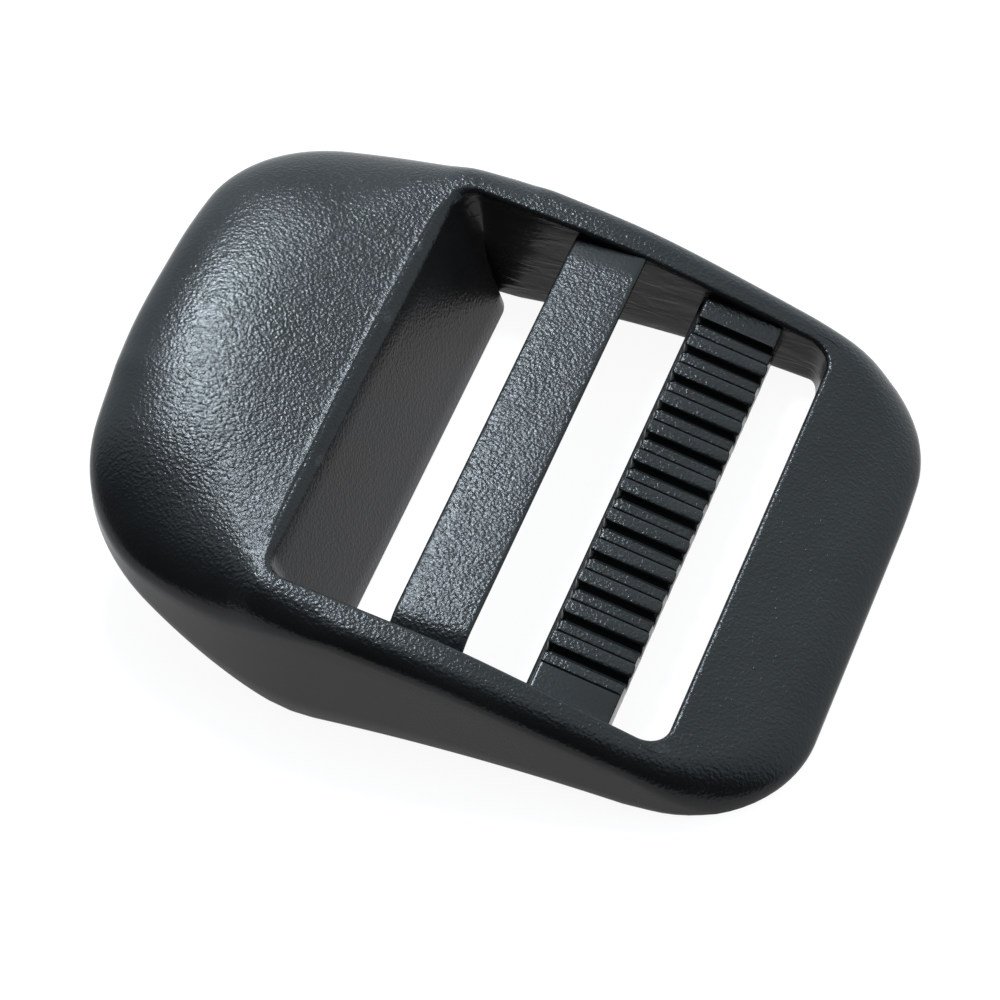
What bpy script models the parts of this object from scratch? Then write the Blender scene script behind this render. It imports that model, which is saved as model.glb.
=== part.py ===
"""Buckle slider: a ladder-lock strap adjuster for 38 mm webbing.

One plastic moulding, modelled as its six members.  A ring-shaped frame runs round the webbing
opening.  It is a thumb shell, two side rails and a nose plate, and two bars cross the opening.
+X points to the nose, +Y to the far rail and +Z up.  The origin is on the table, under the
middle of the outline.
"""
import math

import bmesh
import bpy
from mathutils import Vector

MM = 0.001

# Driving dimensions, in millimetres.
OPENING_WIDTH = 40.0            # between the side rails, for 38 mm webbing
OPENING_LENGTH = 31.0           # shell edge to nose edge, on the top face
OPENING_CORNER = 1.5            # plan radius of the opening's corners
NOSE_REACH = 9.5                # nose edge of the opening to the outer end
JOINT_GAP = 0.3                 # clearance between neighbouring members

# Outer outline, half of it, from the middle of the shell's end to the nose: (radius, turn).
OUTLINE_ARCS = ((110.0, 5.9), (12.0, 64.6), (39.0, 19.5), (415.0, 3.8), (10.0, 86.2))

# Side view of the top face: two slopes with a soft bend between them.
NOSE_EDGE_HEIGHT = 4.5          # top face at the nose edge of the opening
NOSE_SLOPE = 0.31               # fall per mm, nose to bars
SHELL_SLOPE = 0.155             # fall per mm, bars to shell
SHELL_LINE_HEIGHT = 7.0         # the shell slope, carried on to the nose edge
BEND_SOFTNESS = 0.5
SHELL_FLATTENING = 0.0015       # the shell's slope eases towards its end
SHELL_CROWN = 0.0012            # fall to each side at the shell's end, times y squared

# Walls and edges.
SHELL_WALL_LEAN = 4.4           # how far the shell's inner wall reaches in at the bottom
NOSE_WALL_LEAN = 1.2
WALL_THICKNESS = 2.2
EDGE_ROUND = 0.4                # inner edge of the top face
RAIL_SHOULDER = 1.5
SHELL_SHOULDER = 3.7
NOSE_SHOULDER = 3.1
END_SHOULDER = 1.0
LOW_EDGE = 0.25                 # straight wall left under the nose's shoulder
UNDERSIDE_ARCH = 0.8            # the rails are raised this much between nose and shell
SKIRT_START = 27.5              # distance from the nose edge at which the skirt starts to rise
SKIRT_SLOPE = 0.47              # rise of the skirt's lower edge per mm, once it has begun
END_RIM = 12.3                  # lower edge of the shell's end, at its middle
END_RIM_FALL = 0.018            # fall of that edge to each side, times y squared
END_LIP = 2.3                   # least thickness of the shell's end
HOLLOW_START = 34.5             # distance from the nose edge at which the shell is hollow
SHOULDER_STEPS = 5
NOSE_EDGE_SPREAD = 18.0         # length of nose outline served by the straight nose edge

# Members: where the frame is parted, as distances from the nose edge.
NOSE_JOINT = 3.0
SHELL_JOINT = 26.2

# Bars: left and right edges as distances from the nose edge, and thickness.
SMOOTH_BAR = (21.5, 15.4)
SMOOTH_BAR_THICKNESS = 3.2
SMOOTH_BAR_ROUND = 0.8
GRIP_BAR = (10.5, 4.2)
GRIP_BAR_DROP = 0.7             # below the rails' top face
GRIP_BAR_THICKNESS = 3.4
GRIP_LEDGE = 0.8                # step along the bar's shell side
GRIP_LEDGE_DROP = 1.3
GROOVE_COUNT = 12
GROOVE_PITCH = 3.03
GROOVE_FIRST = -15.85           # centre of the first groove, along the bar
GROOVE_WIDTH = 0.7
GROOVE_DEPTH = 0.8

HALF_WIDTH = OPENING_WIDTH / 2


def outline_arcs():
    """The outline's arcs in order: start point, heading in degrees, radius and length."""
    point, heading, arcs = Vector((0.0, 0.0)), 90.0, []
    for radius, turn in OUTLINE_ARCS:
        arcs.append((point, heading, radius, radius * math.radians(turn)))
        point = arc_point(point, heading, radius, heading - turn)
        heading -= turn
    return arcs, point


def arc_point(start, heading, radius, ahead):
    """Point of a clockwise arc at which its heading has become the one given."""
    before, after = math.radians(heading), math.radians(ahead)
    dx = radius * (math.sin(before) - math.sin(after))
    dy = radius * (math.cos(after) - math.cos(before))
    return start + Vector((dx, dy))


ARCS, NOSE_CORNER = outline_arcs()
SHELL_END = NOSE_REACH - NOSE_CORNER.x
CENTRE_X = (SHELL_END + NOSE_REACH) / 2
OUTLINE_LENGTH = sum(arc[3] for arc in ARCS) + NOSE_CORNER.y


def outline_at(distance):
    """Point and outward direction, at a distance along the outline from the shell's end."""
    shift = Vector((SHELL_END, 0.0))
    for start, heading, radius, length in ARCS:
        if distance <= length:
            ahead = heading - math.degrees(distance / radius)
            turned = math.radians(ahead + 90.0)
            outward = Vector((math.cos(turned), math.sin(turned)))
            return arc_point(start, heading, radius, ahead) + shift, outward
        distance -= length
    return Vector((NOSE_REACH, max(0.0, NOSE_CORNER.y - distance))), Vector((1.0, 0.0))


def outline_distance(x):
    """Distance along the outline at which it reaches a given x."""
    low, high = 0.0, OUTLINE_LENGTH - NOSE_CORNER.y
    for _ in range(40):
        middle = (low + high) / 2
        if outline_at(middle)[0].x < x:
            low = middle
        else:
            high = middle
    return (low + high) / 2


def smooth(value, start, end):
    """0 before start, 1 after end, and an even S-curve between."""
    t = min(1.0, max(0.0, (value - start) / (end - start)))
    return t * t * (3 - 2 * t)


def top_height(x, y):
    """Height of the top face, before its edges are rounded."""
    nose = NOSE_EDGE_HEIGHT - NOSE_SLOPE * x
    shell = SHELL_LINE_HEIGHT - SHELL_SLOPE * x
    past = max(0.0, -OPENING_LENGTH - x)
    shell -= SHELL_FLATTENING * past ** 2
    blend = math.hypot(nose - shell, BEND_SOFTNESS)
    reach = past / (-OPENING_LENGTH - SHELL_END)
    return (nose + shell - blend) / 2 - SHELL_CROWN * reach * y * y


def shoulder(x):
    """Width of the rounding between the top face and the outer wall."""
    radius = RAIL_SHOULDER + (SHELL_SHOULDER - RAIL_SHOULDER) * smooth(-x, 24.5, 31.5)
    radius += (END_SHOULDER - radius) * smooth(-x, 41.5, 46.7)
    return radius + (NOSE_SHOULDER - radius) * smooth(x, -3.0, 7.0)


def rim_height(x, y):
    """Lower edge of the outer wall: arched under the rails, rising under the shell."""
    arch = 1 - ((x + 14.0) / 12.0) ** 2
    if arch > 0:
        return UNDERSIDE_ARCH * arch
    past = max(0.0, -SKIRT_START - x)
    skirt = math.hypot(SKIRT_SLOPE * past, 1.0) - 1.0
    end = min(END_RIM - END_RIM_FALL * y * y, top_height(x, y) - END_LIP)
    return skirt + (end - skirt) * smooth(-x, 45.5, 47.8)


def spoke_section(base, inward, outer, outward):
    """Closed section of the frame, from the opening's edge to the outer outline.

    The section runs straight over the top face, then turns square to the outline for the
    shoulder.  The wall of the opening leans along X only.
    """
    lean = SHELL_WALL_LEAN if inward.x < 0 else NOSE_WALL_LEAN
    edge_top = top_height(base.x, base.y)
    room = (outer - base).length - EDGE_ROUND - 0.2
    width = min(shoulder(outer.x), room)
    knee = outer - outward * width
    rim = rim_height(outer.x, outer.y)
    depth = min(width, top_height(outer.x, outer.y) - rim - LOW_EDGE)
    foot = rim_height(base.x, base.y) if base.x > -SKIRT_START else 0.0

    def wall(setback, height):
        shift = inward.x * lean * (1 - height / edge_top)
        spot = base + inward * setback
        return Vector((spot.x - shift, spot.y, height))

    def over(spot, drop=0.0):
        return Vector((spot.x, spot.y, top_height(spot.x, spot.y) - drop))

    brow = base + (knee - base).normalized() * EDGE_ROUND
    points = [wall(0.0, foot), wall(0.0, edge_top - EDGE_ROUND), over(brow)]
    points.append(over(brow.lerp(knee, 0.5)))
    for step in range(SHOULDER_STEPS):
        turn = math.radians(90 * step / SHOULDER_STEPS)
        points.append(over(knee + outward * width * math.sin(turn), depth * (1 - math.cos(turn))))
    points.append(over(outer, depth))
    points.append(Vector((outer.x, outer.y, rim)))

    points += underside(outer, outward, depth, rim, wall, foot, edge_top)
    return [Vector((spot.x - CENTRE_X, spot.y, spot.z)) * MM for spot in points]


def underside(outer, outward, depth, rim, wall, foot, edge_top):
    """Lower side of a section: flat, or hollowed out under the shell."""
    corner = Vector((outer.x, outer.y, rim))
    if outer.x > -HOLLOW_START:
        return [corner.lerp(wall(0.0, foot), share / 6) for share in range(1, 6)]
    skirt = outer - outward * WALL_THICKNESS
    roof = top_height(skirt.x, skirt.y) - WALL_THICKNESS - max(0.0, depth - 1.2 * WALL_THICKNESS)
    back = wall(WALL_THICKNESS, edge_top - WALL_THICKNESS)
    middle = skirt.lerp(back.xy, 0.5)
    return [Vector((skirt.x, skirt.y, rim)), Vector((skirt.x, skirt.y, max(roof, rim + 0.1))),
            Vector((middle.x, middle.y, top_height(middle.x, middle.y) - WALL_THICKNESS)),
            back, wall(WALL_THICKNESS, foot)]


def corner_bases(centre_x, start, end, steps):
    """Points round one corner of the opening, with the direction away from the opening."""
    centre = Vector((centre_x, HALF_WIDTH - OPENING_CORNER))
    bases = []
    for step in range(steps + 1):
        angle = math.radians(start + (end - start) * step / steps)
        away = Vector((math.cos(angle), math.sin(angle)))
        bases.append((centre + away * OPENING_CORNER, away))
    return bases


def edge_bases(x, away_x, steps):
    """Points along a cross edge of the opening, from its middle to the corner's start."""
    reach = HALF_WIDTH - OPENING_CORNER
    away = Vector((away_x, 0.0))
    return [(Vector((x, reach * step / steps)), away) for step in range(steps)]


def pair(bases, distances):
    """Spokes that join points of the opening to points of the outline."""
    return [(base, away) + outline_at(distance) for (base, away), distance in zip(bases, distances)]


def spread(start, end, steps):
    """Evenly spaced values, both ends included."""
    return [start + (end - start) * step / steps for step in range(steps + 1)]


def rail_spokes(stations):
    """Spokes square to the rail at the given x values."""
    side = Vector((0.0, 1.0))
    bases = [(Vector((x, HALF_WIDTH)), side) for x in stations]
    return pair(bases, [outline_distance(x) for x in stations])


def nose_spokes():
    """Spokes of half the nose plate, from its middle to the joint with the rail."""
    bases = edge_bases(0.0, 1.0, 7) + corner_bases(-OPENING_CORNER, 0, 90, 5)
    turn = outline_distance(-OPENING_CORNER)
    middle = OUTLINE_LENGTH - NOSE_EDGE_SPREAD
    distances = spread(OUTLINE_LENGTH, middle, 7)[:-1] + spread(middle, turn, 5)
    return pair(bases, distances) + rail_spokes([-NOSE_JOINT])


def shell_spokes():
    """Spokes of half the thumb shell, from the joint with the rail to its middle."""
    corner_x = -OPENING_LENGTH + OPENING_CORNER
    edge = edge_bases(-OPENING_LENGTH, -1.0, 14)
    bases = corner_bases(corner_x, 90, 180, 5) + edge[::-1]
    start, turn = outline_distance(corner_x - 0.5), outline_distance(-33.0)
    distances = spread(start, turn, 5) + spread(turn, 0.0, 14)[1:]
    return rail_spokes([-SHELL_JOINT, -SHELL_JOINT - 1.6]) + pair(bases, distances)


def mirrored(spokes):
    """The same spokes on the other half, in the opposite order."""
    flip = Vector((1.0, -1.0))
    return [tuple(vector * flip for vector in spoke) for spoke in reversed(spokes)]


def loft(name, spokes, collection, material):
    """One closed body through the sections of its spokes, capped at both ends."""
    mesh = bpy.data.meshes.new(name)
    body = bmesh.new()
    rings = [[body.verts.new(point) for point in spoke_section(*spoke)] for spoke in spokes]
    for near, far in zip(rings, rings[1:]):
        count = len(near)
        for k in range(count):
            after = (k + 1) % count
            body.faces.new((near[k], near[after], far[after], far[k]))
    caps = [body.faces.new(rings[0]), body.faces.new(rings[-1])]
    bmesh.ops.triangulate(body, faces=caps)
    return finish_body(body, mesh, name, collection, material)


def finish_body(body, mesh, name, collection, material):
    """Turn the faces outwards, shade round stretches smooth and link the object."""
    bmesh.ops.recalc_face_normals(body, faces=body.faces)
    body.to_mesh(mesh)
    body.free()
    mesh.shade_smooth()
    mesh.set_sharp_from_angle(angle=math.radians(35))
    mesh.materials.append(material)
    part = bpy.data.objects.new(name, mesh)
    collection.objects.link(part)
    return part


def prism(name, outline, half_length, collection, material):
    """A bar: an outline in the XZ plane, drawn out to both sides along Y."""
    mesh = bpy.data.meshes.new(name)
    body = bmesh.new()
    start = [body.verts.new(Vector((x - CENTRE_X, -half_length, z)) * MM) for x, z in outline]
    face = body.faces.new(start)
    drawn = bmesh.ops.extrude_face_region(body, geom=[face])
    moved = [item for item in drawn["geom"] if isinstance(item, bmesh.types.BMVert)]
    bmesh.ops.translate(body, verts=moved, vec=(0.0, 2 * half_length * MM, 0.0))
    return finish_body(body, mesh, name, collection, material)


def rounded(corners, radius, steps=4):
    """Outline whose listed corners (x, z, keep sharp or not) are rounded off."""
    points = []
    count = len(corners)
    for k, (x, z, soft) in enumerate(corners):
        here = Vector((x, z))
        if not soft:
            points.append((x, z))
            continue
        back = Vector(corners[k - 1][:2]) - here
        ahead = Vector(corners[(k + 1) % count][:2]) - here
        back.normalize()
        ahead.normalize()
        for step in range(steps + 1):
            t = step / steps
            bend = here + back * radius * (1 - t) ** 2 + ahead * radius * t ** 2
            points.append((bend.x, bend.y))
    return points


def smooth_bar(collection, material):
    """Flat cross bar that the webbing passes round, level with the rails."""
    left, right = (-edge for edge in SMOOTH_BAR)
    z_left, z_right = top_height(left, 0.0) - 0.1, top_height(right, 0.0) - 0.1
    corners = ((left, z_left, True), (right, z_right, True),
               (right - 0.3, z_right - SMOOTH_BAR_THICKNESS, True),
               (left + 0.3, z_left - SMOOTH_BAR_THICKNESS, True))
    half = HALF_WIDTH - JOINT_GAP
    return prism("smooth_bar", rounded(corners, SMOOTH_BAR_ROUND), half, collection, material)


def grip_bar(collection, cutters, material):
    """Inclined cross bar with grooves that bite the webbing, and a ledge on its shell side."""
    left, right = (-edge for edge in GRIP_BAR)
    z_left = top_height(left, 0.0) - GRIP_BAR_DROP
    z_right = top_height(right, 0.0) - GRIP_BAR_DROP
    ledge = z_left - GRIP_LEDGE_DROP
    under = z_right - GRIP_BAR_THICKNESS + 0.5
    corners = ((left, z_left, True), (right, z_right, True), (right - 0.5, under, True),
               (left - 0.2, under + 0.8, True), (left - GRIP_LEDGE, ledge - 0.9, False),
               (left - GRIP_LEDGE, ledge, False), (left - 0.15, ledge + 0.1, False))
    half = HALF_WIDTH - JOINT_GAP
    bar = prism("grip_bar", rounded(corners, 0.35, 2), half, collection, material)
    for k in range(GROOVE_COUNT):
        centre = GROOVE_FIRST + GROOVE_PITCH * k
        cutter = groove_cutter(k, centre, left, right, z_left, z_right, cutters)
        cut = bar.modifiers.new("groove_%02d" % k, "BOOLEAN")
        cut.operation = "DIFFERENCE"
        cut.object = cutter
    return bar


def groove_cutter(number, centre, left, right, z_left, z_right, cutters):
    """A slim block laid along the bar's sloping top face."""
    bpy.ops.mesh.primitive_cube_add(size=1.0)
    cutter = bpy.context.object
    cutter.name = "groove_cutter_%02d" % number
    slope = math.atan2(z_left - z_right, right - left)
    middle_x, middle_z = (left + right) / 2 - CENTRE_X, (z_left + z_right) / 2
    cutter.location = Vector((middle_x, centre, middle_z)) * MM
    cutter.rotation_euler = (0.0, slope, 0.0)
    length = math.hypot(right - left, z_left - z_right) + 3.0
    cutter.scale = Vector((length, GROOVE_WIDTH, 2 * GROOVE_DEPTH)) * MM
    cutter.hide_render = True
    cutter.display_type = "WIRE"
    for owner in list(cutter.users_collection):
        owner.objects.unlink(cutter)
    cutters.objects.link(cutter)
    return cutter


def plastic(name, value, roughness):
    """Black moulded acetal."""
    material = bpy.data.materials.new(name)
    material.use_nodes = True
    shader = material.node_tree.nodes["Principled BSDF"]
    shader.inputs["Base Color"].default_value = (value, value, value * 1.05, 1.0)
    shader.inputs["Roughness"].default_value = roughness
    shader.inputs["Metallic"].default_value = 0.0
    return material


def new_collection(name):
    """A collection under the scene's own."""
    collection = bpy.data.collections.new(name)
    bpy.context.scene.collection.children.link(collection)
    return collection


def build():
    """Clear the scene and make the six members."""
    for old in list(bpy.data.objects):
        bpy.data.objects.remove(old, do_unlink=True)
    parts = new_collection("buckle_slider")
    cutters = new_collection("buckle_slider_cutters")

    nose_half = nose_spokes()
    nose = mirrored(nose_half)[:-1] + nose_half
    loft("nose_plate", nose, parts, plastic("nose_plastic", 0.016, 0.42))

    rail = rail_spokes(spread(-NOSE_JOINT - JOINT_GAP, -SHELL_JOINT + JOINT_GAP, 10))
    loft("far_side_rail", rail, parts, plastic("far_rail_plastic", 0.016, 0.42))
    loft("near_side_rail", mirrored(rail), parts, plastic("near_rail_plastic", 0.016, 0.42))

    shell_half = shell_spokes()
    shell = shell_half + mirrored(shell_half)[1:]
    loft("thumb_shell", shell, parts, plastic("shell_plastic", 0.016, 0.40))

    smooth_bar(parts, plastic("smooth_bar_plastic", 0.018, 0.38))
    grip_bar(parts, cutters, plastic("grip_bar_plastic", 0.016, 0.45))


build()
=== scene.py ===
"""Looks of the buckle slider: a black plastic ladder-lock strap adjuster on a pale table.

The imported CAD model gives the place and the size.  One continuous skin stands for the frame's
four members, and two bars are rooted in it.  All shape functions work in millimetres, measured
from the nose edge of the webbing opening; metres() puts them into the shared frame.
"""
import math

import bmesh
import bpy
from mathutils import Euler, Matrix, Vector


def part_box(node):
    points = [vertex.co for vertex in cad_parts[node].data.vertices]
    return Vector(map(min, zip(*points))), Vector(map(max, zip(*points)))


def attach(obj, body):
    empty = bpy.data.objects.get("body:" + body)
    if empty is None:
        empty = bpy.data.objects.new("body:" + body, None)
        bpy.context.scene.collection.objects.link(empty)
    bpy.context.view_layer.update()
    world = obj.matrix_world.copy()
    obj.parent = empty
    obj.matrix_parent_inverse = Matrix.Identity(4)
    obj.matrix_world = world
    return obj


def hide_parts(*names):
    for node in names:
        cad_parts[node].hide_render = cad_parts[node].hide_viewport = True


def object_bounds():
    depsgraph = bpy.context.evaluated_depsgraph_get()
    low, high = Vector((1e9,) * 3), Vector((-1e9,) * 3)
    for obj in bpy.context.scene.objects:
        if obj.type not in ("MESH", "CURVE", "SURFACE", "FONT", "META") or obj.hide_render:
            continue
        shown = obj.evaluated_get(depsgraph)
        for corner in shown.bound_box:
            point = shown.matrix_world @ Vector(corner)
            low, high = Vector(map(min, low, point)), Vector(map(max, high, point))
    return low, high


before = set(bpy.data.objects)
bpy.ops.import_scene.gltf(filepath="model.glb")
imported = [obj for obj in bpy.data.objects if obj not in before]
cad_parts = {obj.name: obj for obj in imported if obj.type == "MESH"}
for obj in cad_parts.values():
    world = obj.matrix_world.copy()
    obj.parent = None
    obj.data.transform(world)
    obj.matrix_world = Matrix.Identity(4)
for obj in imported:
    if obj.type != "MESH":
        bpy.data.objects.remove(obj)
CAD_LOW, CAD_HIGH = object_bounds()

MM = 0.001

# Nose plate, from the opening to its end, and the nose edge of the opening in the shared frame.
NOSE_REACH = 9.5
NOSE_EDGE_X = CAD_HIGH[0] / MM - NOSE_REACH

# The opening, and how far its walls lean outwards towards the bottom at the shell and the nose.
OPENING_LENGTH = 31.0
OPENING_CORNER = 2.0
ROOT_GAP = 0.3
HALF_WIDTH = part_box("smooth_bar")[1][1] / MM + ROOT_GAP
SHELL_WALL_LEAN = 4.4
NOSE_WALL_LEAN = 0.9

# Outer outline of one half, as arcs (radius, turn in degrees), from the shell's end to the nose.
OUTLINE_ARCS = ((110.0, 5.9), (12.0, 64.6), (39.0, 19.5), (415.0, 3.8), (10.0, 86.2))

# Top face: height at the nose edge and slope of the nose plane and of the shell plane.
NOSE_HEIGHT, NOSE_SLOPE = 4.5, 0.31
SHELL_HEIGHT, SHELL_SLOPE = 7.0, 0.155
TAB_RISE = 0.216
CREST_BLEND = 0.5
NEAR_CROWN = 0.0085
FAR_CROWN = 0.0030

# Width and depth of the rounding between the top face and the outer wall.
RAIL_SHOULDER = (1.9, 1.6)
NEAR_SHELL_SHOULDER = (11.5, 3.6)
FAR_SHELL_SHOULDER = (11.0, 3.2)
NOSE_SHOULDER = (3.2, 3.1)

# Lower edge of the outer wall: an arch under the rails, then a rise under the shell.
ARCH_HEIGHT = 0.8
ARCH_MIDDLE, ARCH_HALF = -14.0, 12.0
SKIRT_START, SKIRT_SLOPE = 27.5, 0.47
LOW_EDGE = 0.25

# Walls and edges.
WALL_THICKNESS = 2.2
HOLLOW_START = 34.5
EDGE_ROUND = 0.4
SHELL_EDGE_ROUND = 0.7
RIM_ROUND = 0.3
LIP_SETBACK = 0.78
LIP_HEIGHT = 0.06
LIP_WIDTH = 0.11

# How grainy the mould left the hidden and lower surfaces (the top face is 1).
PLAIN_GRAIN = 0.15
RIM_GRAIN = 0.2

# Keeps the skin just inside the CAD box.
SHRINK = 0.9997

# Unevenness of the moulding.
TAB_SKEW = 0.02
NOSE_TRIM = 0.35

# Bars: both are rooted this far inside the rails.
ROOT_DEPTH = 0.15
SMOOTH_BAR_LEFT, SMOOTH_BAR_RIGHT = -21.5, -15.4
SMOOTH_BAR_TOP_LEFT, SMOOTH_BAR_TOP_RIGHT = 9.32, 9.02
NEAR_ROOT_SAG, FAR_ROOT_SAG = 0.75, 0.1
GRIP_BAR_LEFT, GRIP_BAR_RIGHT = -10.5, -4.2
GROOVE_PITCH = 3.03
GROOVES = [-15.85 + GROOVE_PITCH * k for k in range(12)]
GROOVE_HALF = 0.29
GROOVE_EDGE = 0.22
GROOVE_DEPTH = 0.75
STEP_PHASE = 1.70
STEP_DEPTH = 0.11
STEP_WIDTH = 0.06
ROOT_STEP_Y = -17.2

# Plastic.
PLASTIC_TONE = 0.0065
PLASTIC_ROUGHNESS = 0.21
PLASTIC_IOR = 1.32
GRAIN_DEPTH = 0.035
# Pale colour of the painted highlight on sharp convex edges.
EDGE_HIGHLIGHT_COLOUR = (0.045, 0.047, 0.048, 1.0)

# Floor and lights.
FLOOR_HALF = 3.0
FLOOR_DROP = 0.00002
FLOOR_BASE = 0.12
FLOOR_EMISSION = 0.93
FRONT_GLOW = 0.07
BACK_GLOW = 1.55
RIGHT_SHARE = 0.85
SURROUND_COLOUR = (0.83, 0.97, 1.06, 1.0)
SOFTBOX_PLACE = (-0.069, 0.109, 0.208)
SOFTBOX_TARGET = (-0.02, 0.0, 0.008)
SOFTBOX_SIZE = (0.048, 0.065)
SOFTBOX_POWER = 0.66
SOFTBOX_COLOUR = (0.87, 0.99, 1.09)

# Camera: lens and sensor, its place from the nose edge, and its turn in degrees.
LENS, SENSOR = 162.0, 36.0
CAMERA_PLACE = (56.344, -198.004, 271.690)
CAMERA_TURN = (38.0631, 0.3363, 20.6910)


def metres(point):
    """A point of the shape functions, in the row frame, just inside the CAD box."""
    return Vector(((point[0] + NOSE_EDGE_X) * SHRINK, point[1] * SHRINK, point[2])) * MM


def smooth(value, start, end):
    """0 before start, 1 after end, and an even S-curve between."""
    t = min(1.0, max(0.0, (value - start) / (end - start)))
    return t * t * (3 - 2 * t)


def arc_point(start, heading, radius, ahead):
    """Point of a clockwise arc at which its heading has become the one given."""
    before, after = math.radians(heading), math.radians(ahead)
    dx = radius * (math.sin(before) - math.sin(after))
    dy = radius * (math.cos(after) - math.cos(before))
    return start + Vector((dx, dy))


def outline_arcs():
    """The outline's arcs in order: start point, heading in degrees, radius and length."""
    point, heading, arcs = Vector((0.0, 0.0)), 90.0, []
    for radius, turn in OUTLINE_ARCS:
        arcs.append((point, heading, radius, radius * math.radians(turn)))
        point = arc_point(point, heading, radius, heading - turn)
        heading -= turn
    return arcs, point


ARCS, NOSE_CORNER = outline_arcs()
SHELL_END = NOSE_REACH - NOSE_CORNER.x
OUTLINE_LENGTH = sum(arc[3] for arc in ARCS) + NOSE_CORNER.y


def outline_at(distance):
    """Point and outward direction, at a distance along the outline from the shell's end."""
    shift = Vector((SHELL_END, 0.0))
    for start, heading, radius, length in ARCS:
        if distance <= length:
            ahead = heading - math.degrees(distance / radius)
            turned = math.radians(ahead + 90.0)
            outward = Vector((math.cos(turned), math.sin(turned)))
            return arc_point(start, heading, radius, ahead) + shift, outward
        distance -= length
    return Vector((NOSE_REACH, max(0.0, NOSE_CORNER.y - distance))), Vector((1.0, 0.0))


def outline_distance(x):
    """Distance along the outline at which it reaches a given x."""
    low, high = 0.0, OUTLINE_LENGTH - NOSE_CORNER.y
    for _ in range(40):
        middle = (low + high) / 2
        if outline_at(middle)[0].x < x:
            low = middle
        else:
            high = middle
    return (low + high) / 2


def top_height(x, y):
    """Height of the top face, before its edges are rounded."""
    nose = NOSE_HEIGHT - NOSE_SLOPE * x
    past = max(0.0, -OPENING_LENGTH - x)
    shell = SHELL_HEIGHT - SHELL_SLOPE * x
    shell += (TAB_RISE - SHELL_SLOPE) * (math.hypot(past, 1.0) - 1.0)
    blend = math.hypot(nose - shell, CREST_BLEND)
    reach = past / (-OPENING_LENGTH - SHELL_END)
    crown = NEAR_CROWN if y < 0 else FAR_CROWN
    return (nose + shell - blend) / 2 - crown * reach * y * y


def shoulder(x, y):
    """Width and depth of the rounding between the top face and the outer wall."""
    sizes = []
    far_share = smooth(y, -8.0, 8.0)
    shells = zip(NEAR_SHELL_SHOULDER, FAR_SHELL_SHOULDER)
    for rail, (near, far), nose in zip(RAIL_SHOULDER, shells, NOSE_SHOULDER):
        shell = near + (far - near) * far_share
        size = rail + (shell - rail) * smooth(-x, 24.0, 33.5)
        sizes.append(size + (nose - size) * smooth(x, -3.0, 7.0))
    return sizes


def rim_height(x, y):
    """Lower edge of the outer wall: arched under the rails, rising under the shell."""
    arch = 1 - ((x - ARCH_MIDDLE) / ARCH_HALF) ** 2
    if arch > 0:
        return ARCH_HEIGHT * arch
    past = max(0.0, -SKIRT_START - x)
    skirt = math.hypot(SKIRT_SLOPE * past, 1.0) - 1.0
    end = min(12.3 - 0.018 * y * y, 13.9 - 0.0012 * y * y - 2.3)
    return skirt + (end - skirt) * smooth(-x, 45.5, 47.8)


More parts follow.
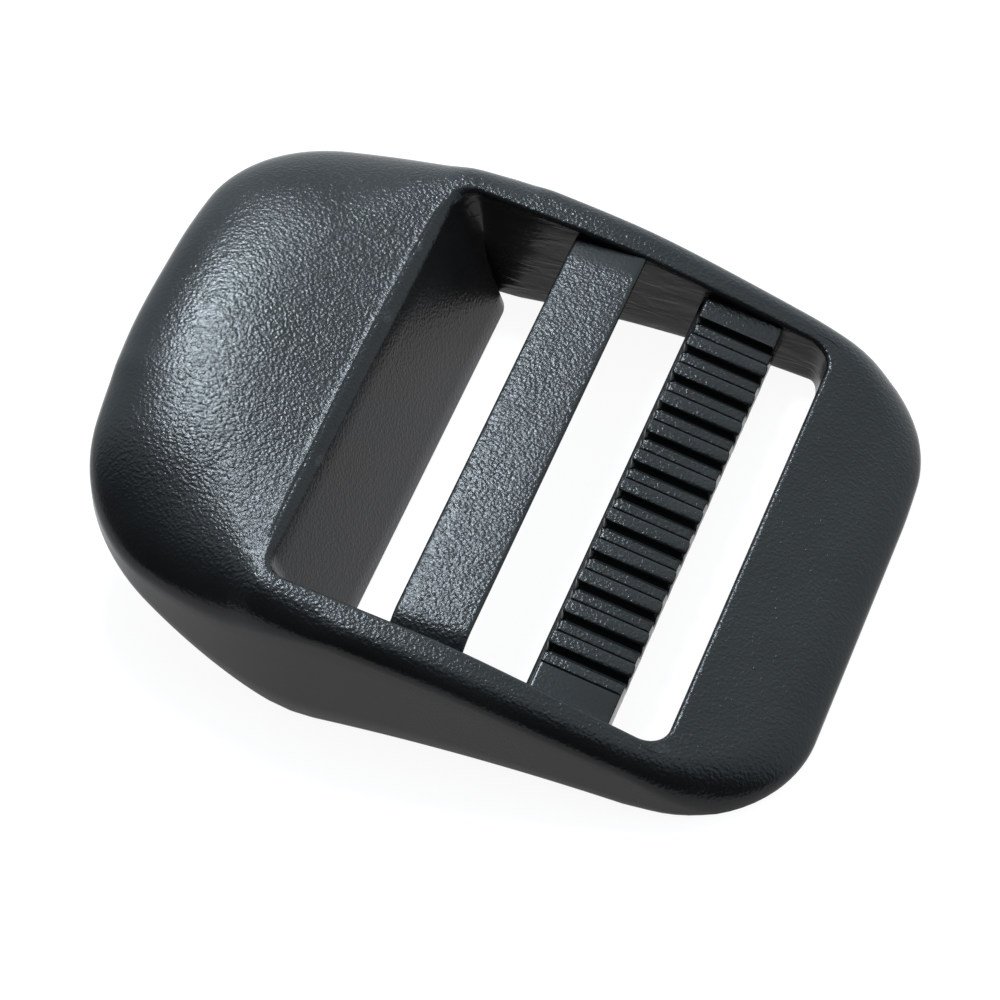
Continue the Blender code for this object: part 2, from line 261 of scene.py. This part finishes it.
class Section:
    """Closed section of the frame, from one point of the opening's edge to the outline."""

    def __init__(self, base, inward, outer, outward, lip):
        self.base, self.inward, self.outer, self.outward = base, inward, outer, outward
        self.lip = lip
        self.lean = SHELL_WALL_LEAN if inward.x < 0 else NOSE_WALL_LEAN
        self.edge = EDGE_ROUND + (SHELL_EDGE_ROUND - EDGE_ROUND) * smooth(-inward.x, 0.0, 1.0)
        self.edge_top = top_height(base.x, base.y)
        self.along = (outer - base).normalized()
        room = (outer - base).length - self.edge - 0.3
        width, depth = shoulder(outer.x, outer.y)
        self.width = min(width, room)
        self.knee = outer - outward * self.width
        self.rim = rim_height(outer.x, outer.y)
        limit = top_height(outer.x, outer.y) - self.rim - LOW_EDGE
        self.depth = min(depth, limit)
        self.foot = rim_height(base.x, base.y) if base.x > -SKIRT_START else 0.0
        self.points = []
        self.grain = []
        self.streak = []

    def add(self, point, grain, streak=0.0):
        """One more point, with how grainy and how streaky the mould left it."""
        self.points.append(point)
        self.grain.append(grain)
        self.streak.append(streak)

    def wall(self, setback, height):
        """A point of the opening's wall, or of its back."""
        shift = self.inward.x * self.lean * (1 - height / self.edge_top)
        spot = self.base + self.inward * setback
        return Vector((spot.x - shift, spot.y, height))

    def over(self, spot, drop=0.0):
        """A point on or under the top face."""
        return Vector((spot.x, spot.y, top_height(spot.x, spot.y) - drop))

    def build(self):
        """All points in order: opening wall, top, shoulder, outer wall, rim, underside."""
        side = abs(self.inward.y)
        wall_grain = 0.38 * (1 - side) + 0.05 * side
        self.add(self.wall(RIM_ROUND, self.foot), RIM_GRAIN)
        self.add(self.wall(RIM_ROUND * 0.3, self.foot + RIM_ROUND * 0.3), RIM_GRAIN, side)
        low, high = self.foot + RIM_ROUND, self.edge_top - self.edge
        for step in range(9):
            self.add(self.wall(0.0, low + (high - low) * step / 8), wall_grain, side)
        self.top_edge()
        self.top_face()
        for step in range(1, 13):
            turn = math.radians(90 * step / 12)
            spot = self.knee + self.outward * self.width * math.sin(turn)
            grain = 0.12 + 0.88 * math.cos(turn) ** 1.5
            self.add(self.over(spot, self.depth * (1 - math.cos(turn))), grain)
        self.outer_wall()
        self.underside()

    def top_edge(self):
        """The rounded edge between the opening's wall and the top face."""
        for step in range(1, 6):
            turn = math.radians(90 * step / 6)
            flat = self.base + self.along * self.edge * (1 - math.cos(turn))
            point = self.over(flat, self.edge * (1 - math.sin(turn)))
            lean = self.wall(0.0, point.z)
            point.x += (lean.x - self.base.x) * math.cos(turn) ** 2
            self.add(point, 0.35 + 0.1 * step)

    def top_face(self):
        """The top face, with the thin raised line that runs along the shell's edge."""
        start, end = self.edge, self.edge + 0.8
        reach = (self.knee - self.base).length
        marks = [start, LIP_SETBACK, LIP_SETBACK + 0.1, LIP_SETBACK + 0.2, LIP_SETBACK + 0.3,
                 LIP_SETBACK + 0.4, end]
        for mark in marks:
            share = min(1.0, (mark - start) / (end - start))
            distance = start + max(share, 0.0) * min(end - start, max(0.2, reach - start) * 0.5)
            rise = LIP_HEIGHT * self.lip * math.exp(-((mark - LIP_SETBACK - 0.2) / LIP_WIDTH) ** 2)
            self.add(self.over(self.base + self.along * distance, -rise), 1.0)
        first = self.base + self.along * distance
        for step in range(1, 11):
            self.add(self.over(first.lerp(self.knee, step / 10)), 1.0)

    def outer_wall(self):
        """The outer wall, a little drawn in towards its top, and the rounded rim."""
        top = top_height(self.outer.x, self.outer.y) - self.depth
        low = self.rim + min(RIM_ROUND, (top - self.rim) * 0.5)
        for step in range(1, 7):
            height = top + (low - top) * step / 6
            self.add(Vector((self.outer.x, self.outer.y, height)), 0.10)
        for turn in (30, 60, 90):
            back = RIM_ROUND * (1 - math.cos(math.radians(turn)))
            drop = (low - self.rim) * math.sin(math.radians(turn))
            spot = self.outer - self.outward * back
            self.add(Vector((spot.x, spot.y, low - drop)), PLAIN_GRAIN)

    def underside(self):
        """Lower side: flat, or hollowed out under the shell."""
        steps = 12
        start, end = self.points[-1], self.wall(RIM_ROUND, self.foot)
        if self.outer.x > -HOLLOW_START:
            for step in range(1, steps + 1):
                self.add(start.lerp(end, step / (steps + 1)), PLAIN_GRAIN)
            return
        skirt = self.outer - self.outward * WALL_THICKNESS
        roof = top_height(skirt.x, skirt.y) - WALL_THICKNESS
        roof -= max(0.0, self.depth - 1.2 * WALL_THICKNESS)
        roof = max(roof, self.rim + 0.1)
        back = self.wall(WALL_THICKNESS, self.edge_top - WALL_THICKNESS)
        bottom = self.wall(WALL_THICKNESS, self.foot)
        inner = Vector((skirt.x, skirt.y, roof))
        low = Vector((skirt.x, skirt.y, self.rim))
        soft = min(1.0, (roof - self.rim) * 0.45)
        self.add(start.lerp(low, 0.9), PLAIN_GRAIN)
        self.add(low.lerp(inner, 0.08), PLAIN_GRAIN)
        self.add(inner - Vector((0.0, 0.0, soft)), PLAIN_GRAIN)
        toward = (back.xy - skirt).normalized()
        for turn in (30, 60, 90):
            lift = soft * (1 - math.sin(math.radians(turn)))
            spot = skirt + toward * soft * (1 - math.cos(math.radians(turn)))
            roofed = top_height(spot.x, spot.y) - WALL_THICKNESS
            height = roof + (roofed - roof) * smooth(turn, -1, 90) - lift
            self.add(Vector((spot.x, spot.y, height)), PLAIN_GRAIN)
        spot = skirt + toward * soft
        for share in (0.33, 0.66):
            point = spot.lerp(back.xy, share)
            self.add(self.over(point, WALL_THICKNESS), PLAIN_GRAIN)
        self.add(back.lerp(self.over(spot, WALL_THICKNESS), 0.08), PLAIN_GRAIN)
        self.add(back.lerp(bottom, 0.08), PLAIN_GRAIN)
        self.add(back.lerp(bottom, 0.95), PLAIN_GRAIN)
        self.add(bottom.lerp(end, 0.1), PLAIN_GRAIN)


def spread(start, end, steps):
    """Evenly spaced values, both ends included."""
    return [start + (end - start) * step / steps for step in range(steps + 1)]


def corner_bases(centre_x, start, end, steps):
    """Points round one corner of the opening, with the direction away from the opening."""
    centre = Vector((centre_x, HALF_WIDTH - OPENING_CORNER))
    bases = []
    for step in range(steps + 1):
        angle = math.radians(start + (end - start) * step / steps)
        away = Vector((math.cos(angle), math.sin(angle)))
        bases.append((centre + away * OPENING_CORNER, away))
    return bases


def edge_bases(x, away_x, steps):
    """Points along a cross edge of the opening, from its middle to the corner's start."""
    reach = HALF_WIDTH - OPENING_CORNER
    away = Vector((away_x, 0.0))
    return [(Vector((x, reach * step / steps)), away) for step in range(steps)]


def half_spokes():
    """Spokes of one half, from the middle of the nose round to the middle of the shell."""
    spokes = []
    nose = edge_bases(0.0, 1.0, 26) + corner_bases(-OPENING_CORNER, 0, 90, 12)
    turn = outline_distance(-OPENING_CORNER)
    middle = OUTLINE_LENGTH - 18.0
    distances = spread(OUTLINE_LENGTH, middle, 26)[:-1] + spread(middle, turn, 12)
    for (base, away), distance in zip(nose, distances):
        spokes.append((base, away) + outline_at(distance) + (0.0,))
    side = Vector((0.0, 1.0))
    corner_x = -OPENING_LENGTH + OPENING_CORNER
    for x in spread(-OPENING_CORNER, -27.8, 54)[1:]:
        spokes.append((Vector((x, HALF_WIDTH)), side) + outline_at(outline_distance(x)) + (0.0,))
    shell = corner_bases(corner_x, 90, 180, 14) + edge_bases(-OPENING_LENGTH, -1.0, 46)[::-1]
    start, turn = outline_distance(corner_x - 0.5), outline_distance(-33.0)
    distances = spread(start, turn, 14) + spread(turn, 0.0, 46)[1:]
    for (base, away), distance in zip(shell, distances):
        lip = smooth(17.4 - base.y, 0.0, 1.5)
        spokes.append((base, away) + outline_at(distance) + (lip,))
    return spokes


def mirrored(spokes):
    """The same spokes on the other half, in the opposite order."""
    flip = Vector((1.0, -1.0))
    return [tuple(vector * flip for vector in spoke[:4]) + spoke[4:] for spoke in reversed(spokes)]


def settle(point):
    """The moulding's small unevenness: the tab's end sits askew, one nose corner is rounder."""
    x, y, z = point
    reach = min(1.0, max(0.0, (-OPENING_LENGTH - x) / (-OPENING_LENGTH - SHELL_END)))
    x -= TAB_SKEW * y * reach * smooth(abs(y), 2.0, 8.0)
    trim = NOSE_TRIM * smooth(x, 2.0, 8.0) * smooth(y, 8.0, 17.0)
    x -= trim
    y -= trim * 0.6
    return x, y, z


def frame_skin():
    """The frame as one closed ring of sections."""
    half = half_spokes()
    spokes = half + mirrored(half)[1:-1]
    sections = [Section(*spoke) for spoke in spokes]
    for section in sections:
        section.build()
    body = bmesh.new()
    grain = body.verts.layers.float.new("grain")
    streak = body.verts.layers.float.new("streak")
    rings = []
    for section in sections:
        ring = []
        for point, grainy, streaky in zip(section.points, section.grain, section.streak):
            vert = body.verts.new(metres(settle(point)))
            vert[grain] = grainy
            vert[streak] = streaky
            ring.append(vert)
        rings.append(ring)
    for near, far in zip(rings, rings[1:] + rings[:1]):
        count = len(near)
        for k in range(count):
            after = (k + 1) % count
            body.faces.new((near[k], near[after], far[after], far[k]))
    return finish_body(body, "frame_skin")


def finish_body(body, name):
    """Turn the faces outwards, shade smooth with sharp creases kept, and link the object."""
    bmesh.ops.recalc_face_normals(body, faces=body.faces)
    mesh = bpy.data.meshes.new(name)
    body.to_mesh(mesh)
    body.free()
    mesh.shade_smooth()
    mesh.set_sharp_from_angle(angle=math.radians(40))
    piece = bpy.data.objects.new(name, mesh)
    bpy.context.scene.collection.objects.link(piece)
    return piece


def sweep(name, stations):
    """A bar: closed profiles at stations along Y, joined and capped.

    Each station is (y, profile, grain values).
    """
    body = bmesh.new()
    layer = body.verts.layers.float.new("grain")
    body.verts.layers.float.new("streak")
    rings = []
    for y, profile, grains in stations:
        ring = []
        for (x, z), grainy in zip(profile, grains):
            vert = body.verts.new(metres((x, y, z)))
            vert[layer] = grainy
            ring.append(vert)
        rings.append(ring)
    for near, far in zip(rings, rings[1:]):
        count = len(near)
        for k in range(count):
            after = (k + 1) % count
            body.faces.new((near[k], near[after], far[after], far[k]))
    body.faces.new(rings[0])
    body.faces.new(rings[-1])
    return finish_body(body, name)


def round_profile(corners, steps=5):
    """Closed profile with each corner (x, z, radius) rounded by that much."""
    points = []
    count = len(corners)
    for k, (x, z, radius) in enumerate(corners):
        here = Vector((x, z))
        back = (Vector(corners[k - 1][:2]) - here).normalized()
        ahead = (Vector(corners[(k + 1) % count][:2]) - here).normalized()
        for step in range(steps + 1):
            t = step / steps
            points.append(here + back * radius * (1 - t) ** 2 + ahead * radius * t ** 2)
    return points


def smooth_bar():
    """The flat anchor bar.  Its top rolls down at both roots."""
    left, right = SMOOTH_BAR_LEFT, SMOOTH_BAR_RIGHT
    reach = HALF_WIDTH + ROOT_DEPTH
    stations = []
    inner = spread(-17.6, 17.6, 44)
    outer = spread(17.6, reach, 14)[1:]
    for y in [-v for v in reversed(outer)] + inner + outer:
        root_sag = NEAR_ROOT_SAG if y < 0 else FAR_ROOT_SAG
        sag = root_sag * max(0.0, (abs(y) - 17.8) / 2.2) ** 2
        z_left = SMOOTH_BAR_TOP_LEFT - sag
        z_right = SMOOTH_BAR_TOP_RIGHT - sag
        corners = ((left, z_left, 0.5), (left + 2.0, z_left - (z_left - z_right) * 0.33, 0.01),
                   (right - 2.0, z_right + (z_left - z_right) * 0.33, 0.01), (right, z_right, 0.45),
                   (right - 1.1, z_right - 2.8 + sag, 0.6), (left + 0.8, z_left - 2.9 + sag, 0.6))
        profile = round_profile(corners)
        smooth_patch = smooth(y, 18.6, 17.4) if y > 0 else 1.0
        grains = []
        for k in range(len(profile)):
            on_top = 1.0 if 3 <= k <= 20 else 0.25
            grains.append(on_top * (0.15 + 0.85 * smooth_patch))
        stations.append((y, profile, grains))
    return sweep("smooth_bar_skin", stations)


def land_shape(y):
    """At a place along the grip bar: drop of its top, and bulge of its nose and shell edges."""
    phase = (y - GROOVES[0]) % GROOVE_PITCH
    away = min(phase, GROOVE_PITCH - phase)
    if GROOVES[0] - 1 < y < GROOVES[-1] + 1 and away < GROOVE_HALF + GROOVE_EDGE:
        side = smooth(away, GROOVE_HALF - 0.10, GROOVE_HALF + GROOVE_EDGE)
        return GROOVE_DEPTH * (1 - side) + 0.03, 0.06 * side, -0.20 * (1 - side)
    if y > GROOVES[-1] or y < -17.3:
        return 0.05, 0.0, 0.0
    line = STEP_DEPTH * math.exp(-((phase - STEP_PHASE) / STEP_WIDTH) ** 2)
    if y < GROOVES[0]:
        line = STEP_DEPTH * math.exp(-((y - ROOT_STEP_Y) / STEP_WIDTH) ** 2)
        return 0.04 + line, 0.0, 0.0
    if phase < STEP_PHASE:
        across = (phase - 0.98) / 0.74
        crown = math.sqrt(max(0.0, 1 - across * across))
        return 0.07 * (1 - crown) + line, 0.20 * crown, 0.08 * crown
    return 0.08 + line, 0.02, -0.12


def grip_profile(y):
    """Section of the grip bar at a place along it, and the grain round it."""
    left, right = GRIP_BAR_LEFT, GRIP_BAR_RIGHT
    z_left = top_height(left, 0.0) - 1.0
    z_right = top_height(right, 0.0) - 0.45
    ledge = z_left - 1.3
    under = z_right - 2.9
    drop, nose_bulge, shell_bulge = land_shape(y)
    far, near = right + nose_bulge, left - shell_bulge
    corners = ((near, z_left - drop, 0.30), (far, z_right - drop, 0.30),
               (right - 0.35, under, 0.3), (left + 0.1, under + 0.8, 0.3),
               (left - 0.55, ledge - 0.9, 0.1), (left - 0.55, ledge, 0.1),
               (left - 0.18, ledge + 0.1, 0.04))
    profile = round_profile(corners, 4)
    amount = 0.9 * (0.35 if y < ROOT_STEP_Y else 1.0) * (0.2 if drop > 0.3 else 1.0)
    grains = [amount if 1 <= k <= 8 else 0.2 for k in range(len(profile))]
    return y, profile, grains


def grip_bar():
    """The grooved bar, with a ledge along its shell side."""
    reach = HALF_WIDTH + ROOT_DEPTH
    places = {-reach, -19.2, -18.4, -17.6, 19.0, reach}
    for offset in (-0.14, -0.09, -0.06, -0.03, 0.0, 0.03, 0.06, 0.09, 0.14, 0.3):
        places.add(ROOT_STEP_Y + offset)
    for centre in GROOVES:
        for offset in (0.0, 0.12, 0.18, 0.24, 0.30, 0.36, 0.42, 0.48):
            places.update((centre - offset, centre + offset))
        for phase in (0.6, 0.8, 1.0, 1.2, 1.4, 1.52, 1.58, 1.62, 1.65, 1.68, 1.70, 1.72, 1.75,
                      1.78, 1.84, 2.1, 2.35):
            places.add(centre + phase)
    kept = []
    for y in sorted(round(place, 4) for place in places):
        if -reach <= y <= reach and (not kept or y - kept[-1] > 0.01):
            kept.append(y)
    return sweep("grip_bar_skin", [grip_profile(y) for y in kept])


# ---------------------------------------------------------------- materials

def node(tree, kind, **values):
    """A new node with its plain inputs and settings given by name."""
    made = tree.nodes.new(kind)
    for name, value in values.items():
        if name in made.inputs.keys():
            made.inputs[name].default_value = value
        else:
            setattr(made, name, value)
    return made


def math_node(tree, operation, first, second=None, third=None):
    """A Math node; each input is a socket or a number."""
    made = tree.nodes.new("ShaderNodeMath")
    made.operation = operation
    for index, value in enumerate((first, second, third)):
        if value is None:
            continue
        if isinstance(value, (int, float)):
            made.inputs[index].default_value = value
        else:
            tree.links.new(value, made.inputs[index])
    return made.outputs[0]


def texture(tree, coords, kind, scale, stretch=(1, 1, 1), turn=(0, 0, 0), **values):
    """A procedural texture, with its scale given per millimetre."""
    mapping = node(tree, "ShaderNodeMapping")
    mapping.inputs["Scale"].default_value = [s / MM for s in stretch]
    mapping.inputs["Rotation"].default_value = turn
    tree.links.new(coords, mapping.inputs["Vector"])
    made = node(tree, kind, Scale=scale, **values)
    tree.links.new(mapping.outputs[0], made.inputs["Vector"])
    return made


def map_range(tree, value, from_low, from_high, to_low, to_high):
    """A clamped linear remap of a socket."""
    made = node(tree, "ShaderNodeMapRange")
    for name, number in (("From Min", from_low), ("From Max", from_high),
                         ("To Min", to_low), ("To Max", to_high)):
        made.inputs[name].default_value = number
    tree.links.new(value, made.inputs["Value"])
    return made.outputs["Result"]


def grain_height(tree, coords):
    """Height of the spark-eroded grain: small wrinkled pebbles, about 0.3 mm apart."""
    warp = texture(tree, coords, "ShaderNodeTexNoise", 1.3, Detail=2.0)
    mixed = node(tree, "ShaderNodeVectorMath", operation="MULTIPLY_ADD")
    mixed.inputs[1].default_value = [0.2 * MM] * 3
    tree.links.new(warp.outputs["Color"], mixed.inputs[0])
    tree.links.new(coords, mixed.inputs[2])
    pebbles = texture(tree, mixed.outputs[0], "ShaderNodeTexVoronoi", 3.3,
                      feature="SMOOTH_F1", Smoothness=0.45)
    wrinkles = texture(tree, mixed.outputs[0], "ShaderNodeTexNoise", 4.4, Detail=2.0,
                       Roughness=0.55, Distortion=0.3)
    first = map_range(tree, pebbles.outputs["Distance"], 0.05, 0.65, 1.0, 0.0)
    second = map_range(tree, wrinkles.outputs["Fac"], 0.32, 0.68, 0.0, 1.0)
    fine = texture(tree, coords, "ShaderNodeTexNoise", 9.0, Detail=2.0)
    total = math_node(tree, "MULTIPLY_ADD", first, 0.75, math_node(tree, "MULTIPLY", second, 0.50))
    return math_node(tree, "MULTIPLY_ADD", fine.outputs["Fac"], 0.12, total)


def plastic(name):
    """Black moulded plastic with grain, mould streaks, uneven gloss and a painted highlight on its
    sharp edges.
    """
    material = bpy.data.materials.new(name)
    material.use_nodes = True
    tree = material.node_tree
    shader = tree.nodes["Principled BSDF"]
    shader.inputs["Metallic"].default_value = 0.0
    shader.inputs["IOR"].default_value = PLASTIC_IOR
    coords = node(tree, "ShaderNodeTexCoord").outputs["Object"]
    grain = node(tree, "ShaderNodeAttribute", attribute_name="grain").outputs["Fac"]
    streak = node(tree, "ShaderNodeAttribute", attribute_name="streak").outputs["Fac"]

    cloud = texture(tree, coords, "ShaderNodeTexNoise", 0.12, Detail=3.0)
    speckle = texture(tree, coords, "ShaderNodeTexNoise", 3.5, Detail=2.0)
    rough = map_range(tree, cloud.outputs["Fac"], 0.3, 0.7,
                      PLASTIC_ROUGHNESS - 0.03, PLASTIC_ROUGHNESS + 0.04)
    rough = math_node(tree, "MULTIPLY_ADD", speckle.outputs["Fac"], 0.06, rough)
    tree.links.new(rough, shader.inputs["Roughness"])

    tint = node(tree, "ShaderNodeMix", data_type="RGBA")
    tint.inputs[6].default_value = [PLASTIC_TONE * share for share in (0.80, 0.84, 0.86)] + [1.0]
    tint.inputs[7].default_value = [PLASTIC_TONE * share for share in (1.25, 1.30, 1.33)] + [1.0]
    tree.links.new(map_range(tree, cloud.outputs["Fac"], 0.35, 0.65, 0.0, 1.0), tint.inputs[0])
    # Painted highlight: a pale colour mixed in on sharp convex edges (by pointiness), in patches.
    edge_highlight = node(tree, "ShaderNodeMix", data_type="RGBA")
    edge_highlight.inputs[7].default_value = EDGE_HIGHLIGHT_COLOUR
    geometry = node(tree, "ShaderNodeNewGeometry")
    edge = map_range(tree, geometry.outputs["Pointiness"], 0.53, 0.62, 0.0, 0.6)
    patchy = map_range(tree, speckle.outputs["Fac"], 0.4, 0.65, 0.2, 1.0)
    tree.links.new(math_node(tree, "MULTIPLY", edge, patchy), edge_highlight.inputs[0])
    tree.links.new(tint.outputs[2], edge_highlight.inputs[6])
    tree.links.new(edge_highlight.outputs[2], shader.inputs["Base Color"])

    height = grain_height(tree, coords)
    grained = math_node(tree, "MULTIPLY", height, grain)
    flow = texture(tree, coords, "ShaderNodeTexNoise", 0.55, stretch=(0.35, 1.0, 1.3),
                   turn=(0.0, math.radians(28), 0.0), Detail=4.0, Distortion=0.8)
    streaks = map_range(tree, flow.outputs["Fac"], 0.38, 0.62, 0.0, 1.0)
    total = math_node(tree, "MULTIPLY_ADD", math_node(tree, "MULTIPLY", streaks, streak), 1.4,
                      grained)
    bump = node(tree, "ShaderNodeBump", Strength=1.0)
    bump.inputs["Distance"].default_value = GRAIN_DEPTH * MM
    tree.links.new(total, bump.inputs["Height"])
    tree.links.new(bump.outputs["Normal"], shader.inputs["Normal"])
    return material


def floor():
    """A plain pale table."""
    mesh = bpy.data.meshes.new("table")
    corners = [(-1, -1), (1, -1), (1, 1), (-1, 1)]
    mesh.from_pydata([(x * FLOOR_HALF, y * FLOOR_HALF, -FLOOR_DROP) for x, y in corners], [],
                     [(0, 1, 2, 3)])
    table = bpy.data.objects.new("table", mesh)
    bpy.context.scene.collection.objects.link(table)
    material = bpy.data.materials.new("table_white")
    material.use_nodes = True
    shader = material.node_tree.nodes["Principled BSDF"]
    shader.inputs["Base Color"].default_value = (FLOOR_BASE, FLOOR_BASE, FLOOR_BASE, 1.0)
    shader.inputs["Roughness"].default_value = 0.7
    shader.inputs["Specular IOR Level"].default_value = 0.1
    shader.inputs["Emission Color"].default_value = (1.0, 1.0, 1.0, 1.0)
    shader.inputs["Emission Strength"].default_value = FLOOR_EMISSION
    mesh.materials.append(material)


def surround():
    """Soft light from the back half of the room, with a dark front half."""
    world = bpy.data.worlds.new("surround")
    world.use_nodes = True
    tree = world.node_tree
    direction = node(tree, "ShaderNodeTexCoord").outputs["Generated"]
    split = node(tree, "ShaderNodeSeparateXYZ")
    tree.links.new(direction, split.inputs[0])
    back = map_range(tree, split.outputs["Y"], -0.17, 0.17, FRONT_GLOW, BACK_GLOW)
    side = map_range(tree, split.outputs["X"], 0.30, 0.65, 1.0, RIGHT_SHARE)
    background = tree.nodes["Background"]
    background.inputs["Color"].default_value = SURROUND_COLOUR
    tree.links.new(math_node(tree, "MULTIPLY", back, side), background.inputs["Strength"])
    bpy.context.scene.world = world


def softbox():
    """A small soft rectangular light, above and behind to the left."""
    data = bpy.data.lights.new("softbox", "AREA")
    data.shape = "RECTANGLE"
    data.size, data.size_y = SOFTBOX_SIZE
    data.energy = SOFTBOX_POWER
    data.color = SOFTBOX_COLOUR
    light = bpy.data.objects.new("softbox", data)
    light.location = SOFTBOX_PLACE
    toward = Vector(SOFTBOX_TARGET) - Vector(SOFTBOX_PLACE)
    light.rotation_euler = toward.to_track_quat("-Z", "Y").to_euler()
    bpy.context.scene.collection.objects.link(light)


def camera():
    """A long lens from the front right, as high as the picture's view."""
    data = bpy.data.cameras.new("camera")
    data.sensor_width = SENSOR
    data.lens = LENS
    data.clip_start, data.clip_end = 0.01, 10.0
    view = bpy.data.objects.new("camera", data)
    view.location = (Vector(CAMERA_PLACE) + Vector((NOSE_EDGE_X, 0.0, 0.0))) * MM
    view.rotation_euler = Euler([math.radians(turn) for turn in CAMERA_TURN], "XYZ")
    bpy.context.scene.collection.objects.link(view)
    bpy.context.scene.camera = view


def dress(piece, material, slot, *nodes):
    """Give a piece its material and its body, and hide the CAD nodes that it stands for. The slot
    is not used.
    """
    piece.data.materials.append(material)
    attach(piece, "root")
    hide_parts(*nodes)


bpy.context.scene.view_settings.view_transform = "Standard"
floor()
softbox()
surround()
camera()
dress(frame_skin(), plastic("frame_black"), "shell_plastic",
      "thumb_shell", "near_side_rail", "far_side_rail", "nose_plate")
dress(smooth_bar(), plastic("smooth_bar_black"), "smooth_bar_plastic", "smooth_bar")
dress(grip_bar(), plastic("grip_bar_black"), "grip_bar_plastic", "grip_bar")
